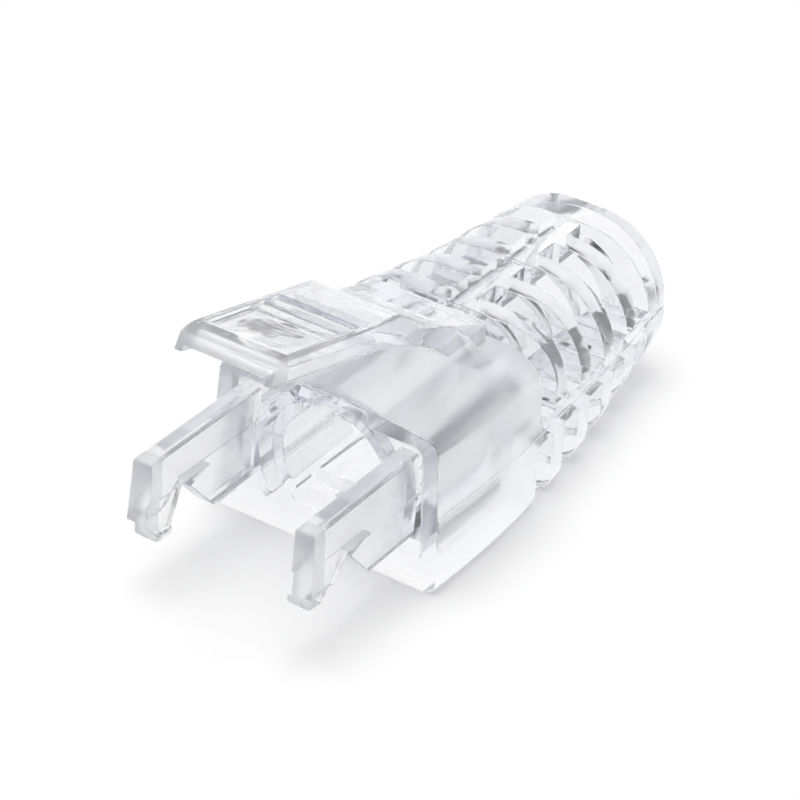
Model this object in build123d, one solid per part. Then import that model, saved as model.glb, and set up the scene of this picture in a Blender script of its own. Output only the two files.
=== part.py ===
# A clear plastic boot that slides over a network cable and backs onto its 8-way plug.
# It is one moulded piece: a housing, two gripping arms, a sprung latch cover and a
# slotted strain relief round the cable.
# Frame: origin at the centre of the cable bore on the tail face, +X to the plug, +Z up.
# The mould parts on the plane Z = 0, so each outline is an upper and a lower half.
from build123d import *
import os

# Stations along the cable, from the housing's front face back to the tail face
front_x = 26.3
relief_x = 15.7
tail_round = 0.35
stations = (front_x, 23.5, 20.7, 18.2, relief_x, 12.6, 9.2, 5.0, tail_round, 0)

# Outline at those stations: half widths on the parting plane, then the long corners' radii
half_widths = (6.83, 6.97, 7.0, 6.93, 6.76, 6.58, 6.33, 5.91, 5.4, 5.1)
roof_corners = (0.7, 0.85, 1.2, 1.8, 2.6, 3.5, 4.4, 4.4, 4.4, 4.1)
floor_corners = (0.8, 0.8, 0.8, 0.8, 0.8, 1.2, 1.9, 2.9, 3.9, 3.6)
waist_half_width = max(half_widths)

# Heights from the parting plane, and how the sides draft away from it
top_height = 4.78
relief_height = 4.7
tail_top = 4.62
bottom_depth = 4.5
front_crown = 0.5
rear_crown = 0.06
parting_ledge = 0.07
mould_overlap = 0.3
shoulder_draft = 0.3
floor_flare = 0.25
relief_draft = 0.1

# Cable way: the relief's bore, the wider sleeve, the seat at its mouth, and a trough with a tooth
bore_radius = 3.0
sleeve_bore_radius = 3.2
sleeve_start_x = 16.7
seat_radius = 3.9
seat_depth = 1.1
sleeve_radius = 4.45
trough_half_width = 2.3
trough_depth = 3.1
trough_length = 7.6
tooth_back = 3.4
tooth_length = 0.9
tooth_height = 1.1
tooth_crest = (0.45, 0.72)

# Housing walls and the pockets beside the sleeve
side_wall = 1.0
roof_wall = 0.7
floor_wall = 1.6
pocket_depth = 7.5
pocket_corner = 0.5
mouth_bevel = 0.2

# Slots of the strain relief
slot_width = 1.65
slot_pitch = 3.0
slot_count = 5
first_slot_x = 15.5
side_rib_height = 0.72
spine_half_width = 0.85
keel_half_width = 1.3
spine_groove = 0.22

# Arms that hold the plug
arm_inner_y = 4.2
arm_thickness = 1.14
arm_top_z = 3.3
arm_depth = 2.45
arm_reach = 8.75
arm_draft = 0.18
arm_edge = 0.12
block_length = 2.2
block_run = 0.6
block_drop = 1.15
tip_slope = 0.06
tongue_drop = 2.45
tongue_inset = 0.13
tongue_thickness = 0.68
tongue_lean = 0.5
tongue_corner = 0.3
toe_rise = 0.75
toe_run = 0.7
toe_lift = 0.12
toe_height = 0.45
toe_reach = 0.1
rail_reach = 5.5
rail_toe = 3.4
rail_drop = 5.2
rail_nose = 0.5
rail_bevel = 0.28
rail_root = 6.5
web_setback = 0.4

# Latch cover: a plate whose rear ridge turns down into the neck
cover_half_width = 2.75
nose_x = 34.0
nose_z = 11.65
lip_x = 35.1
lip_z = 11.55
lip_foot_x = 35.6
lip_foot_z = 10.72
cheek_x = 34.85
cheek_z = 10.5
ridge_x = 24.4
ridge_z = 9.48
knee_x = 24.8
knee_z = 7.95
cheek_width = 0.42
hollow_depth = 0.7
dip_x = 22.4
dip_z = 7.75
neck_low_x = 21.0
neck_low_z = 5.95
neck_toe_x = 19.2
root_sink = 0.25
foot_half_width = 3.4
foot_front_x = 19.5
foot_front_z = 6.55
foot_rear_x = 17.1
foot_rear_z = 6.0
foot_heel_x = 16.8
foot_toe_x = 17.5
cover_edge = 0.22
border_width = 0.35
lip_gap = 0.35
lip_wall = 0.7
hollow_back = 1.6
recess_front = 0.3
recess_length = 6.3
recess_depth = 0.3
scoop_x = 2.4
scoop_span = 3.8
scoop_radius = 9.0
scoop_depth = 0.2
grip_count = 2
grip_first = 0.9
grip_width = 0.5
grip_pitch = 1.2
grip_height = 0.24

# How far a cutting shape runs past what it cuts
overrun = 1.0


def half_outline(x, half_width, draft, height, crown, corner, side):
    """Half of the outline at one station: drafted sides, round corners and a crown."""
    shoulder = half_width + draft
    edge = side * (height - crown)
    lap = -side * mould_overlap
    with BuildSketch(Plane(origin=(x, 0, 0), x_dir=(0, 1, 0), z_dir=(1, 0, 0))) as outline:
        with BuildLine():
            Polyline(
                (-shoulder, edge),
                (-half_width, 0),
                (-half_width, lap),
                (half_width, lap),
                (half_width, 0),
                (shoulder, edge),
            )
            if crown:
                ThreePointArc((shoulder, edge), (0, side * height), (-shoulder, edge))
            else:
                Line((shoulder, edge), (-shoulder, edge))
        make_face()
        far = [v for v in outline.vertices() if side * v.Y > height / 2]
        fillet(far, corner)
    return outline.sketch


def body_half(side):
    """The body on one side of the parting plane, carried through all its stations."""
    outlines = []
    for number, x in enumerate(stations):
        housing = min(max((x - relief_x) / (front_x - relief_x), 0), 1)
        half_width = half_widths[number] + (0 if side > 0 else parting_ledge)
        rounding = tail_round if x == 0 else 0
        if side > 0:
            height = relief_height + (top_height - relief_height) * housing - rounding
            height -= (relief_height - tail_top) * (1 - min(x / relief_x, 1))
            crown = rear_crown + (front_crown - rear_crown) * housing
            draft = -relief_draft - (shoulder_draft - relief_draft) * housing
            corner = roof_corners[number]
        else:
            height = bottom_depth - rounding
            crown = 0
            draft = relief_draft + (floor_flare - relief_draft) * housing
            corner = floor_corners[number]
        outlines.append(half_outline(x, half_width, draft, height, crown, corner, side))
    half = loft(outlines, ruled=True)
    if side < 0:
        far_y = waist_half_width + overrun
        half -= box((-overrun, -far_y, 0), (front_x + overrun, far_y, top_height))
    return half


def box(low, high):
    """A box between two corners."""
    size = [h - l for l, h in zip(low, high)]
    return Pos(*low) * Box(*size, align=(Align.MIN, Align.MIN, Align.MIN))


def sided(side, near_y, far_y):
    """The two values of Y of a feature on one side, lower one first."""
    return sorted((side * near_y, side * far_y))


def rod(radius, start, end):
    """A round bar about the bore's axis, from one station to another."""
    bar = Cylinder(radius, end - start, align=(Align.CENTER, Align.CENTER, Align.MIN))
    return Pos(start, 0, 0) * Rot(0, 90, 0) * bar


def side_plate(points, low_y, high_y):
    """A plate with a side outline in X and Z, between two values of Y."""
    with BuildSketch(Plane(origin=(0, low_y, 0), x_dir=(1, 0, 0), z_dir=(0, -1, 0))) as outline:
        with BuildLine():
            Polyline(*points, close=True)
        make_face()
    return extrude(outline.sketch, amount=low_y - high_y)


def pockets():
    """The hollows beside the sleeve, open at the front."""
    top_y = half_widths[0] - shoulder_draft - side_wall
    low_y = half_widths[0] + floor_flare / 2 - side_wall
    top_z = top_height - front_crown - roof_wall
    with BuildSketch(Plane(origin=(front_x, 0, 0), x_dir=(0, 1, 0), z_dir=(1, 0, 0))) as mouth:
        with BuildLine():
            Polyline(
                (-top_y, top_z),
                (-low_y, floor_wall - bottom_depth),
                (low_y, floor_wall - bottom_depth),
                (top_y, top_z),
                close=True,
            )
        make_face()
        fillet(mouth.vertices(), pocket_corner)
    hollow = extrude(mouth.sketch, amount=-pocket_depth)
    flare = loft([mouth.sketch, Pos(mouth_bevel, 0, 0) * offset(mouth.sketch, mouth_bevel)])
    hollow += Pos(-mouth_bevel, 0, 0) * flare
    return hollow - rod(sleeve_radius, 0, front_x)


def cable_way():
    """The bore right through, wider in the housing, with a seat at its mouth and a trough."""
    way = rod(bore_radius, 0, front_x) + rod(sleeve_bore_radius, sleeve_start_x, front_x)
    way += rod(seat_radius, front_x - seat_depth, front_x)
    way += box(
        (front_x - trough_length, -trough_half_width, -trough_depth), (front_x, trough_half_width, 0)
    )
    return way


def tooth():
    """The tooth across the trough that bites the cable sheath."""
    x = front_x - tooth_back
    low = -trough_depth
    rear, front = tooth_crest
    points = [
        (x, low),
        (x + tooth_length, low),
        (x + front, low + tooth_height),
        (x + rear, low + tooth_height),
    ]
    return side_plate(points, -trough_half_width, trough_half_width)


def slots():
    """The blades that cut the relief into ribs, leaving a spine, a keel and two side ribs."""
    cuts = []
    far_y = waist_half_width + overrun
    roof = top_height + overrun
    for number in range(slot_count):
        x = first_slot_x - slot_width / 2 - number * slot_pitch
        for side in (-1, 1):
            low_y, high_y = sided(side, spine_half_width, far_y)
            cuts.append(box((x, low_y, side_rib_height), (x + slot_width, high_y, roof)))
            low_y, high_y = sided(side, keel_half_width, far_y)
            floor = (x, low_y, -bottom_depth - overrun)
            cuts.append(box(floor, (x + slot_width, high_y, -side_rib_height)))
        if number % 2 == 0:
            groove = (x, -spine_half_width, relief_height - spine_groove)
            cuts.append(box(groove, (x + slot_width, spine_half_width, roof)))
    return cuts


def tip_x(z):
    """Where an arm ends at a height: its end face leans forward towards the toe."""
    return front_x + arm_reach + tip_slope * (arm_top_z - z)


def arm(side):
    """One arm: the drafted beam with its end block, the tongue and its toe."""
    root = front_x - web_setback
    bottom = arm_top_z - arm_depth
    block_bottom = bottom - block_drop
    block_back = front_x + arm_reach - block_length
    outer_y = arm_inner_y + arm_thickness
    outline = [
        (root, arm_top_z),
        (tip_x(arm_top_z), arm_top_z),
        (tip_x(block_bottom), block_bottom),
        (block_back + block_run, block_bottom),
        (block_back - block_run, bottom),
        (root, bottom),
    ]
    blank = side_plate(outline, *sided(side, arm_inner_y, outer_y + overrun))
    with BuildSketch(Plane(origin=(0, 0, 0), x_dir=(0, 1, 0), z_dir=(1, 0, 0))) as section:
        with BuildLine():
            Polyline(
                (side * arm_inner_y, arm_top_z),
                (side * outer_y, arm_top_z),
                (side * (outer_y + arm_draft), block_bottom),
                (side * arm_inner_y, block_bottom),
                close=True,
            )
        make_face()
    beam = blank & extrude(section.sketch, amount=tip_x(block_bottom))
    top_edges = beam.edges().group_by(Axis.Z)[-1]
    beam = chamfer(top_edges, arm_edge)
    low_y, high_y = sided(side, arm_inner_y - overrun, arm_inner_y + tongue_inset)
    far_x = tip_x(block_bottom) + overrun
    beam -= box((root, low_y, block_bottom - overrun), (far_x, high_y, bottom))
    return beam + tongue(side, block_back, bottom)


def tongue(side, back, top):
    """The thin tongue under an arm's end block, with an inward toe along its lower edge."""
    low_z = top - tongue_drop
    front_z = low_z + toe_rise
    bottom = [
        (tip_x(front_z), front_z),
        (tip_x(front_z) - toe_run, low_z + toe_lift),
        (back + tongue_lean, low_z),
    ]
    outline = [(back - block_run, top), (tip_x(top), top)] + bottom
    near_y = arm_inner_y + tongue_inset
    far_y = near_y + tongue_thickness
    blade = rounded_plate(outline, *sided(side, near_y, far_y))
    strip = [(x, z + toe_height) for x, z in bottom]
    strip += [(x, low_z - overrun) for x, z in reversed(bottom)]
    toe = rounded_plate(outline, *sided(side, arm_inner_y - toe_reach, near_y + tongue_thickness / 2))
    return blade + (toe & side_plate(strip, *sided(side, 0, far_y)))


def rounded_plate(points, low_y, high_y):
    """A plate whose three lowest corners are rounded."""
    plate = side_plate(points, low_y, high_y)
    return fillet(plate.edges().filter_by(Axis.Y).sort_by(Axis.Z)[:3], tongue_corner)


def rail(side):
    """The rail under an arm: it starts in the pocket, tied to the wall, and ends in a ramp."""
    top = arm_top_z - arm_depth
    low_z = arm_top_z - rail_drop
    root = front_x - rail_root
    outline = [
        (root, top + arm_edge),
        (front_x + rail_toe, top + arm_edge),
        (front_x + rail_reach, top - rail_nose),
        (front_x + rail_toe, low_z),
        (root, low_z),
    ]
    outer_y = arm_inner_y + arm_thickness
    bar = side_plate(outline, *sided(side, arm_inner_y, outer_y))
    low_edges = bar.edges().filter_by(Axis.X).group_by(Axis.Z)[0]
    bar = chamfer(low_edges.sort_by(Axis.Y)[-1 if side > 0 else 0], rail_bevel)
    low_y, high_y = sided(side, arm_inner_y, waist_half_width - side_wall / 2)
    web = box((root, low_y, low_z), (front_x - web_setback, high_y, top + arm_edge))
    return bar + web


def cover_profile():
    """The latch cover, the neck behind it and the neck's root from the side."""
    root_z = relief_height - root_sink
    return [
        (nose_x, nose_z),
        (lip_x, lip_z),
        (lip_foot_x, lip_foot_z),
        (cheek_x, cheek_z),
        (knee_x, knee_z),
        (neck_low_x, neck_low_z),
        (neck_toe_x, root_z),
        (foot_heel_x, root_z),
        (foot_rear_x, foot_rear_z),
        (foot_front_x, foot_front_z),
        (dip_x, dip_z),
        (ridge_x, ridge_z),
    ]


def cover():
    """The latch cover: a plate hollowed below, with a lip in front and a recess on top."""
    blank = side_plate(cover_profile(), -cover_half_width, cover_half_width)
    middle_z = (nose_z + knee_z) / 2
    long_edges = [e for e in blank.edges() if e.length > recess_length and e.center().Z > middle_z]
    blank = fillet(long_edges, cover_edge)
    half = cover_half_width - cheek_width
    rise = (cheek_z - knee_z) / (cheek_x - knee_x)
    mouth_x = lip_foot_x + overrun
    mouth = [
        (knee_x + hollow_back, knee_z + rise * hollow_back + lip_gap),
        (mouth_x, cheek_z + rise * (mouth_x - cheek_x) + lip_gap),
        (mouth_x, knee_z),
        (knee_x + hollow_back, knee_z),
    ]
    blank -= side_plate(mouth, -half, half)
    start = knee_x + hollow_back
    end = cheek_x - lip_wall
    inside = [
        (start, knee_z + rise * hollow_back + hollow_depth),
        (end, cheek_z - rise * lip_wall + hollow_depth),
        (end, knee_z),
        (start, knee_z),
    ]
    blank -= side_plate(inside, -half, half)
    return blank - recess()


def recess():
    """The thumb recess on the cover: a shallow pan, scooped, with grip bars at its rear."""
    slope = Plane(
        origin=(nose_x, 0, nose_z),
        x_dir=(ridge_x - nose_x, 0, ridge_z - nose_z),
        z_dir=(ridge_z - nose_z, 0, nose_x - ridge_x),
    )
    half = cover_half_width - border_width
    pan = Pos(recess_front, 0, 0) * Box(
        recess_length, 2 * half, 2 * recess_depth, align=(Align.MIN, Align.CENTER, Align.CENTER)
    )
    for number in range(grip_count):
        x = recess_front + recess_length - grip_first - number * grip_pitch
        pan -= Pos(x, 0, -recess_depth) * Box(
            grip_width, 2 * half, grip_height, align=(Align.CENTER, Align.CENTER, Align.MIN)
        )
    ball = Pos(scoop_x, 0, scoop_radius - recess_depth - scoop_depth) * Sphere(scoop_radius)
    bowl = ball & (Pos(scoop_x, 0, -recess_depth) * Box(scoop_span, 2 * half, 2 * scoop_depth))
    return slope * (pan + bowl)


def foot():
    """The wedge across the roof that the neck grows from."""
    root_z = relief_height - root_sink
    profile = [
        (foot_front_x, foot_front_z),
        (foot_toe_x, root_z),
        (foot_heel_x, root_z),
        (foot_rear_x, foot_rear_z),
    ]
    return side_plate(profile, -foot_half_width, foot_half_width)


body = body_half(1) + body_half(-1) - pockets() - cable_way()
for cut in slots():
    body -= cut
for side in (-1, 1):
    body += arm(side) + rail(side)
body += tooth()
body += cover() + foot()
boot = body.solids().sort_by(SortBy.VOLUME)[-1]
boot.label = "boot"

os.makedirs("parts", exist_ok=True)
export_step(boot, "parts/boot.step")
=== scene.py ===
import math

import bmesh
import bpy
import numpy as np
from mathutils import Matrix, Vector


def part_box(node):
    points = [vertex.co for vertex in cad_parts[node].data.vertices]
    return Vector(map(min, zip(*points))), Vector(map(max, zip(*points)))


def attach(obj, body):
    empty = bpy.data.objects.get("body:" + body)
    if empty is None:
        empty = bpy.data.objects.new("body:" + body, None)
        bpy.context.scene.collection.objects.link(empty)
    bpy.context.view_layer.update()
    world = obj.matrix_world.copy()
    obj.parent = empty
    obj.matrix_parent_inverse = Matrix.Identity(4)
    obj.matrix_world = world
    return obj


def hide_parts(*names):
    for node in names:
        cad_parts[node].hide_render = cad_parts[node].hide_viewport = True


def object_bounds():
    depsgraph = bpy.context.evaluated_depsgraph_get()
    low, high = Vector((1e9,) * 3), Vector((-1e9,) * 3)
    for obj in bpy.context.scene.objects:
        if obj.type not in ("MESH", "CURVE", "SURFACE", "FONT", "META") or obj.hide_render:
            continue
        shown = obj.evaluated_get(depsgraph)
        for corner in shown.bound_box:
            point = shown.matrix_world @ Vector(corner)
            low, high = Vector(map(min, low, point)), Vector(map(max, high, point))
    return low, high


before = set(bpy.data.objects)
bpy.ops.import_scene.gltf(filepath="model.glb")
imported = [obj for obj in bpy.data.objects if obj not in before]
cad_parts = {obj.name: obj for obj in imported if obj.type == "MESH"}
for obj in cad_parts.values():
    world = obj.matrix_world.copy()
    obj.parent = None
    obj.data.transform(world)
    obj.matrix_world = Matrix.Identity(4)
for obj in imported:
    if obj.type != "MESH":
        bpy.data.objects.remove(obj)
cad_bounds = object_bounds()

# The boot: one piece of clear, water-white plastic, injection moulded between two halves
# and side cores. Its gloss comes from the polished mould, and the flow of the melt leaves
# it faintly wavy along its length. Its edges carry the mould's tiny round where it has room.
weld_distance = 1e-7
flat_angle = math.radians(0.2)
sharp_angle = math.radians(30)
crease_angle = math.radians(50)
edge_round = 0.00006
edge_room = 2.5 * edge_round
edge_steps = 2
edge_profile = 0.5
facing_back = -0.7
large_face_weight = 100


def cramped_edges(face, sharp):
    """The sharp edges of a face that run back past each other closer than two rounds need.

    Each edge is tried at its start, middle and end against the straight line of every other.
    """
    loops = [loop for loop in face.loops if loop.edge in sharp]
    if len(loops) < 2:
        return []
    starts = np.array([loop.vert.co[:] for loop in loops])
    runs = np.array([loop.link_loop_next.vert.co[:] for loop in loops]) - starts
    lengths = np.linalg.norm(runs, axis=1)
    ways = runs / lengths[:, None]
    near = np.zeros((len(loops), len(loops)), bool)
    for share in (0, 0.5, 1):
        gaps = (starts + share * runs)[:, None] - starts[None]
        along = np.clip((gaps * ways[None]).sum(axis=2), 0, lengths[None])
        near |= np.linalg.norm(gaps - along[..., None] * ways[None], axis=2) < edge_room
    tight = ((near | near.T) & (ways @ ways.T < facing_back)).any(axis=1)
    return [loop.edge for loop, close in zip(loops, tight) if close]


def rounded_copy(node):
    """The node's surface as one joined mesh, with its sharp edges rounded."""
    shape = bmesh.new()
    shape.from_mesh(node.data)
    bmesh.ops.remove_doubles(shape, verts=shape.verts, dist=weld_distance)
    bmesh.ops.dissolve_limit(
        shape, angle_limit=flat_angle, verts=shape.verts, edges=shape.edges
    )
    sharp = {edge for edge in shape.edges if edge.calc_face_angle(0) > sharp_angle}
    cramped = [edge for face in shape.faces for edge in cramped_edges(face, sharp)]
    bmesh.ops.bevel(
        shape,
        geom=list(sharp.difference(cramped)),
        offset=edge_round,
        offset_type="OFFSET",
        segments=edge_steps,
        profile=edge_profile,
        affect="EDGES",
        miter_outer="ARC",
    )
    for face in shape.faces:
        face.smooth = True
    for edge in shape.edges:
        edge.smooth = edge.calc_face_angle(0) < crease_angle
    mesh = bpy.data.meshes.new("clear_boot")
    shape.to_mesh(mesh)
    shape.free()
    return mesh


def feed(tree, plug, value):
    """Joins a wire to a socket, or writes a plain value on it."""
    if isinstance(value, Wire):
        tree.links.new(value.socket, plug)
    else:
        plug.default_value = value


class Wire:
    """One output of a node. Arithmetic and comparisons on it add Math nodes.

    Where two masks are joined by |, the larger of them counts.
    """

    def __init__(self, tree, socket):
        self.tree = tree
        self.socket = socket

    def output(self, name):
        """Another output of the same node."""
        return Wire(self.tree, self.socket.node.outputs[name])

    def maths(self, operation, *values):
        """One Math node in the same tree, fed with the values in their order."""
        node = self.tree.nodes.new("ShaderNodeMath")
        node.operation = operation
        for plug, value in zip(node.inputs, values):
            feed(self.tree, plug, value)
        return Wire(self.tree, node.outputs[0])

    def __add__(self, value):
        return self.maths("ADD", self, value)

    def __radd__(self, value):
        return self.maths("ADD", value, self)

    def __sub__(self, value):
        return self.maths("SUBTRACT", self, value)

    def __rsub__(self, value):
        return self.maths("SUBTRACT", value, self)

    def __mul__(self, value):
        return self.maths("MULTIPLY", self, value)

    def __rmul__(self, value):
        return self.maths("MULTIPLY", value, self)

    def __truediv__(self, value):
        return self.maths("DIVIDE", self, value)

    def __rtruediv__(self, value):
        return self.maths("DIVIDE", value, self)

    def __gt__(self, value):
        return self.maths("GREATER_THAN", self, value)

    def __lt__(self, value):
        return self.maths("LESS_THAN", self, value)

    def __or__(self, value):
        return self.maths("MAXIMUM", self, value)

    def __ror__(self, value):
        return self.maths("MAXIMUM", value, self)

    def __abs__(self):
        return self.maths("ABSOLUTE", self)


class Nodes:
    """The nodes of one material, or of the room's light."""

    def __init__(self, tree):
        self.tree = tree
        self.tree.nodes.clear()

    def add(self, kind, settings=None, sockets=None):
        """Adds one node: its settings, a ramp's eased stops among them, then its sockets."""
        made = self.tree.nodes.new("ShaderNode" + kind)
        for name, value in (settings or {}).items():
            if name == "stops":
                made.color_ramp.interpolation = "EASE"
                for stop, (place, colour) in zip(made.color_ramp.elements, value):
                    stop.position = place
                    stop.color = colour
            else:
                setattr(made, name, value)
        for name, value in (sockets or {}).items():
            feed(self.tree, made.inputs[name], value)
        return Wire(self.tree, made.outputs[0]) if made.outputs else None


def clear_plastic():
    """Water-white plastic: flow lines along the boot, and light let through to the table.

    The housing's outside, the arms and the lip come from a satin part of the mould. Where
    each begins and ends is told from the tail's centre: x along, y across and z up.
    """
    flow_scale = 350
    flow_stretch = (0.12, 1.0, 1.0)
    flow_detail = 2.0
    flow_share = 0.8
    ripple_scale = 1700
    ripple_detail = 3.0
    ripple_share = 0.01
    wave_height = 0.00006
    wave_strength = 0.12
    water_white = (0.995, 0.996, 1.0, 1)
    plastic_ior = 1.49
    clearness = 0.94
    gloss_roughness = 0.02
    ripple_roughness = 0.04
    coat_roughness = 0.02
    depth_tint = (0, 0.08, 0.5, 1)
    depth_density = 12
    lamp_share = 0.5
    lamp_tint = (0.9, 0.9, 0.93, 1)
    housing_rear = 0.0159
    housing_front = 0.0262
    flank_inside = 0.0064
    roof_inside = 0.00435
    roof_outside = 0.0056
    corner_inside = 0.0098
    arm_inside = 0.004
    arm_top = 0.0036
    lip_front = 0.0342
    housing_satin = 0.24
    satin_least = 0.8
    satin_streak = 0.6
    arm_satin = 0.16
    lip_satin = 0.3
    material = bpy.data.materials.new("clear_plastic")
    material.use_nodes = True
    nodes = Nodes(material.node_tree)
    place = nodes.add("TexCoord").output("Object")
    along = nodes.add("Mapping", sockets={"Vector": place, "Scale": flow_stretch})
    flow = nodes.add(
        "TexNoise", sockets={"Vector": along, "Scale": flow_scale, "Detail": flow_detail}
    )
    ripple = nodes.add(
        "TexNoise", sockets={"Vector": place, "Scale": ripple_scale, "Detail": ripple_detail}
    )
    wave = nodes.add(
        "Bump",
        sockets={
            "Height": flow * flow_share + ripple * ripple_share,
            "Strength": wave_strength,
            "Distance": wave_height,
        },
    )
    axes = nodes.add("SeparateXYZ", sockets={0: place})
    x = axes.output("X")
    z = axes.output("Z")
    off_middle = abs(axes.output("Y"))
    flank = off_middle > flank_inside
    roof = (z > roof_inside) * (z < roof_outside)
    corner = (off_middle + z > corner_inside) * (z < roof_outside)
    housing_skin = (x > housing_rear) * (x < housing_front) * (flank | roof | corner)
    arm_skin = (x > housing_front) * (off_middle > arm_inside) * (z < arm_top)
    lip_skin = x > lip_front
    housing_haze = housing_skin * housing_satin * (satin_least + flow * satin_streak)
    front_haze = arm_skin * arm_satin + lip_skin * lip_satin
    plastic = nodes.add(
        "BsdfPrincipled",
        sockets={
            "Base Color": water_white,
            "Roughness": gloss_roughness + ripple * ripple_roughness + (housing_haze | front_haze),
            "Coat Weight": housing_skin,
            "Coat Roughness": coat_roughness,
            "Coat IOR": plastic_ior,
            "IOR": plastic_ior,
            "Transmission Weight": clearness,
            "Normal": wave,
        },
    )
    lamp_ray = nodes.add("LightPath").output("Is Shadow Ray")
    passed = nodes.add("BsdfTransparent", sockets={"Color": lamp_tint})
    surface = nodes.add("MixShader", sockets={0: lamp_ray * lamp_share, 1: plastic, 2: passed})
    depth = nodes.add(
        "VolumeAbsorption", sockets={"Color": depth_tint, "Density": depth_density}
    )
    nodes.add("OutputMaterial", sockets={"Surface": surface, "Volume": depth})
    return material


boot = bpy.data.objects.new("clear_boot", rounded_copy(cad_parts["boot"]))
bpy.context.scene.collection.objects.link(boot)
boot.data.materials.append(clear_plastic())
even = boot.modifiers.new("even_faces", "WEIGHTED_NORMAL")
even.weight = large_face_weight
even.keep_sharp = True
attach(boot, "root")
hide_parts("boot")

# The table: a sheet of plain white card under soft light. To the eye and through the clear plastic
# a painted glow makes it as white as the background. To the eye it keeps the boot's soft shadow
# near the boot.
floor_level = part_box("boot")[0][2]
floor_reach = 1.2


def white_card():
    """Matt white card, with a glow that only sight lines and the clear plastic meet.

    Away from an oval round the boot, the glow that the eye meets rises to full. This painted light
    whitens the card over the outer part of the boot's shadow.
    """
    card_white = (0.99, 0.99, 0.99, 1)
    glow_white = (1, 1, 1, 1)
    glow_strength = 1.0
    seen_glow = 0.15
    far_glow = 1.0
    mirrored_glow = 0.9
    shadow_centre = 0.019
    shadow_length = 0.023
    shadow_width = 0.013
    shadow_full = 0.8
    shadow_gone = 5
    material = bpy.data.materials.new("white_card")
    material.use_nodes = True
    nodes = Nodes(material.node_tree)
    place = nodes.add("SeparateXYZ", sockets={0: nodes.add("TexCoord").output("Object")})
    along = (place.output("X") - shadow_centre) / shadow_length
    across = place.output("Y") / shadow_width
    # Painted light: the eye's share of glow is low near the boot and full beyond the oval, and it
    # paints the far shadow out.
    painted_glow_share = nodes.add(
        "MapRange",
        {"interpolation_type": "SMOOTHSTEP"},
        {
            "Value": along * along + across * across,
            "From Min": shadow_full,
            "From Max": shadow_gone,
            "To Min": seen_glow,
            "To Max": far_glow,
        },
    )
    seen = nodes.add("LightPath").output("Is Camera Ray")
    inside = seen.output("Is Glossy Ray") | seen.output("Is Transmission Ray")
    paper = nodes.add("BsdfDiffuse", sockets={"Color": card_white})
    glow = nodes.add("Emission", sockets={"Color": glow_white, "Strength": glow_strength})
    surface = nodes.add(
        "MixShader", sockets={0: seen * painted_glow_share + inside * mirrored_glow, 1: paper, 2: glow}
    )
    nodes.add("OutputMaterial", sockets={"Surface": surface})
    return material


table = bpy.data.meshes.new("table")
table.from_pydata(
    [
        (-floor_reach, -floor_reach, floor_level),
        (floor_reach, -floor_reach, floor_level),
        (floor_reach, floor_reach, floor_level),
        (-floor_reach, floor_reach, floor_level),
    ],
    [],
    [(0, 1, 2, 3)],
)
table.materials.append(white_card())
table_top = bpy.data.objects.new("table_top", table)
bpy.context.scene.collection.objects.link(table_top)

# The light: a white room with two dark screens, one hung over the table and one behind the
# camera, which draw the clear edges dark, and two soft boxes for the gloss and the shadow.
# The ramp from room to screen runs on the facing, brought from -1..1 to 0..1.
hung_screen = Vector((-0.1, 0.25, 0.97)).normalized()
back_screen = Vector((0.85, 0.5, 0.15)).normalized()
screen_rim = 0.8
screen_end = 0.86
room_white = (1, 1, 1, 1)
room_strength = 1.0
room_dim = (0.48, 0.48, 0.48, 1)
screen_black = (0, 0, 0, 1)
key_place = (0.04, -0.03, 0.3)
key_side = 0.22
key_power = 0.62
fill_place = (0.18, 0.2, 0.16)
fill_side = 0.12
fill_power = 0.02
world = bpy.data.worlds.new("studio")
bpy.context.scene.world = world
world.use_nodes = True
sky = Nodes(world.node_tree)
heading = sky.add("TexCoord").output("Generated")
over = sky.add("VectorMath", {"operation": "DOT_PRODUCT"}, {0: heading, 1: hung_screen})
behind = sky.add("VectorMath", {"operation": "DOT_PRODUCT"}, {0: heading, 1: back_screen})
facing = over.output("Value") | behind.output("Value")
room = sky.add(
    "ValToRGB",
    {"stops": [(screen_rim, room_white), (screen_end, screen_black)]},
    {"Fac": facing * 0.5 + 0.5},
)
ray = sky.add("LightPath")
lit = sky.add("MixRGB", sockets={0: ray.output("Is Diffuse Ray"), 1: room, 2: room_dim})
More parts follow.
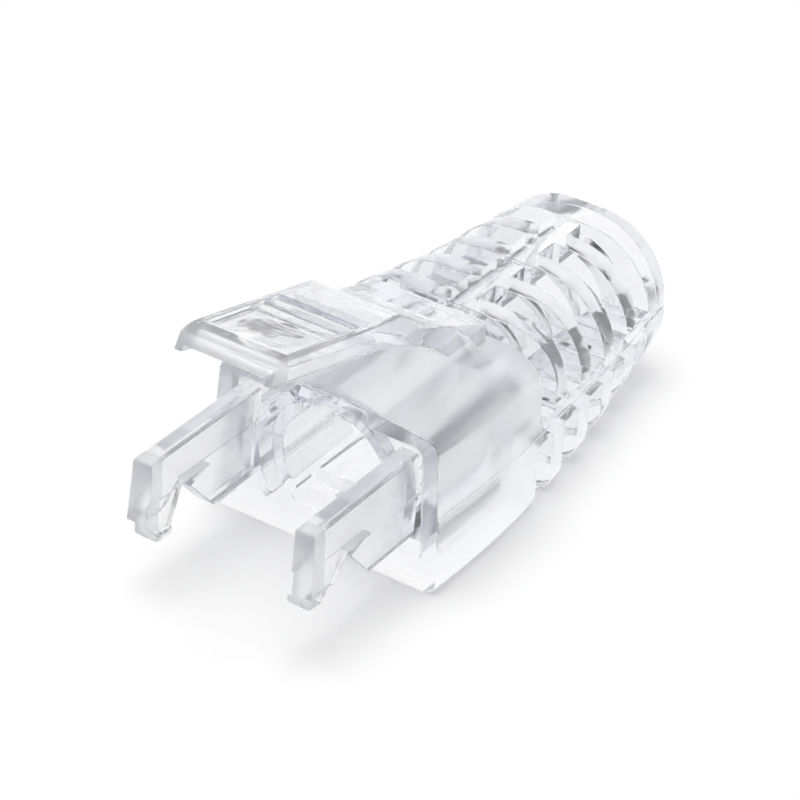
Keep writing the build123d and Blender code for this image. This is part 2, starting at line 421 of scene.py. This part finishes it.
seen_room = sky.add("MixRGB", sockets={0: ray.output("Is Camera Ray"), 1: lit, 2: room_white})
glow = sky.add("Background", sockets={"Color": seen_room, "Strength": room_strength})
sky.add("OutputWorld", sockets={"Surface": glow})


def soft_box(name, place, aim, side, power):
    """A square lamp that faces its aim."""
    lamp = bpy.data.lights.new(name, "AREA")
    lamp.size = side
    lamp.energy = power
    holder = bpy.data.objects.new(name, lamp)
    holder.location = place
    holder.rotation_euler = (Vector(aim) - Vector(place)).to_track_quat("-Z", "Y").to_euler()
    bpy.context.scene.collection.objects.link(holder)


centre = ((cad_bounds[0][0] + cad_bounds[1][0]) / 2, 0, 0)
soft_box("key_box", key_place, centre, key_side, key_power)
soft_box("fill_box", fill_place, centre, fill_side, fill_power)

# The camera stands where the photograph was taken from: to the plug end's left and above.
# Its lens points past the foot of the housing's front face by a small shift each way.
azimuth = math.radians(30.604)
rise = math.radians(32.375)
roll = math.radians(4.608)
distance = 0.150
lens_mm = 131.96
film_mm = 36
nearest_seen = 0.001
aim_across = -0.004194
aim_up = -0.007419
front_face = Vector((0.0263, 0, -0.00442))
back = Vector(
    (math.cos(azimuth) * math.cos(rise), math.sin(azimuth) * math.cos(rise), math.sin(rise))
)
level = Vector((-math.sin(azimuth), math.cos(azimuth), 0))
upright = back.cross(level)
across = math.cos(roll) * level + math.sin(roll) * upright
above = math.cos(roll) * upright - math.sin(roll) * level
view = bpy.data.cameras.new("view")
view.lens = lens_mm
view.sensor_width = film_mm
view.clip_start = nearest_seen
eye = bpy.data.objects.new("eye", view)
place = front_face + distance * back - aim_across * across - aim_up * above
turn = Matrix((across, above, back)).transposed().to_4x4()
eye.matrix_world = Matrix.Translation(place) @ turn
bpy.context.scene.collection.objects.link(eye)
bpy.context.scene.camera = eye

# Light is followed through as many walls of the clear plastic as it meets on its way.
wall_passes = 24
bpy.context.scene.view_settings.view_transform = "Standard"
bpy.context.scene.cycles.max_bounces = wall_passes
bpy.context.scene.cycles.transmission_bounces = wall_passes
bpy.context.scene.cycles.glossy_bounces = wall_passes
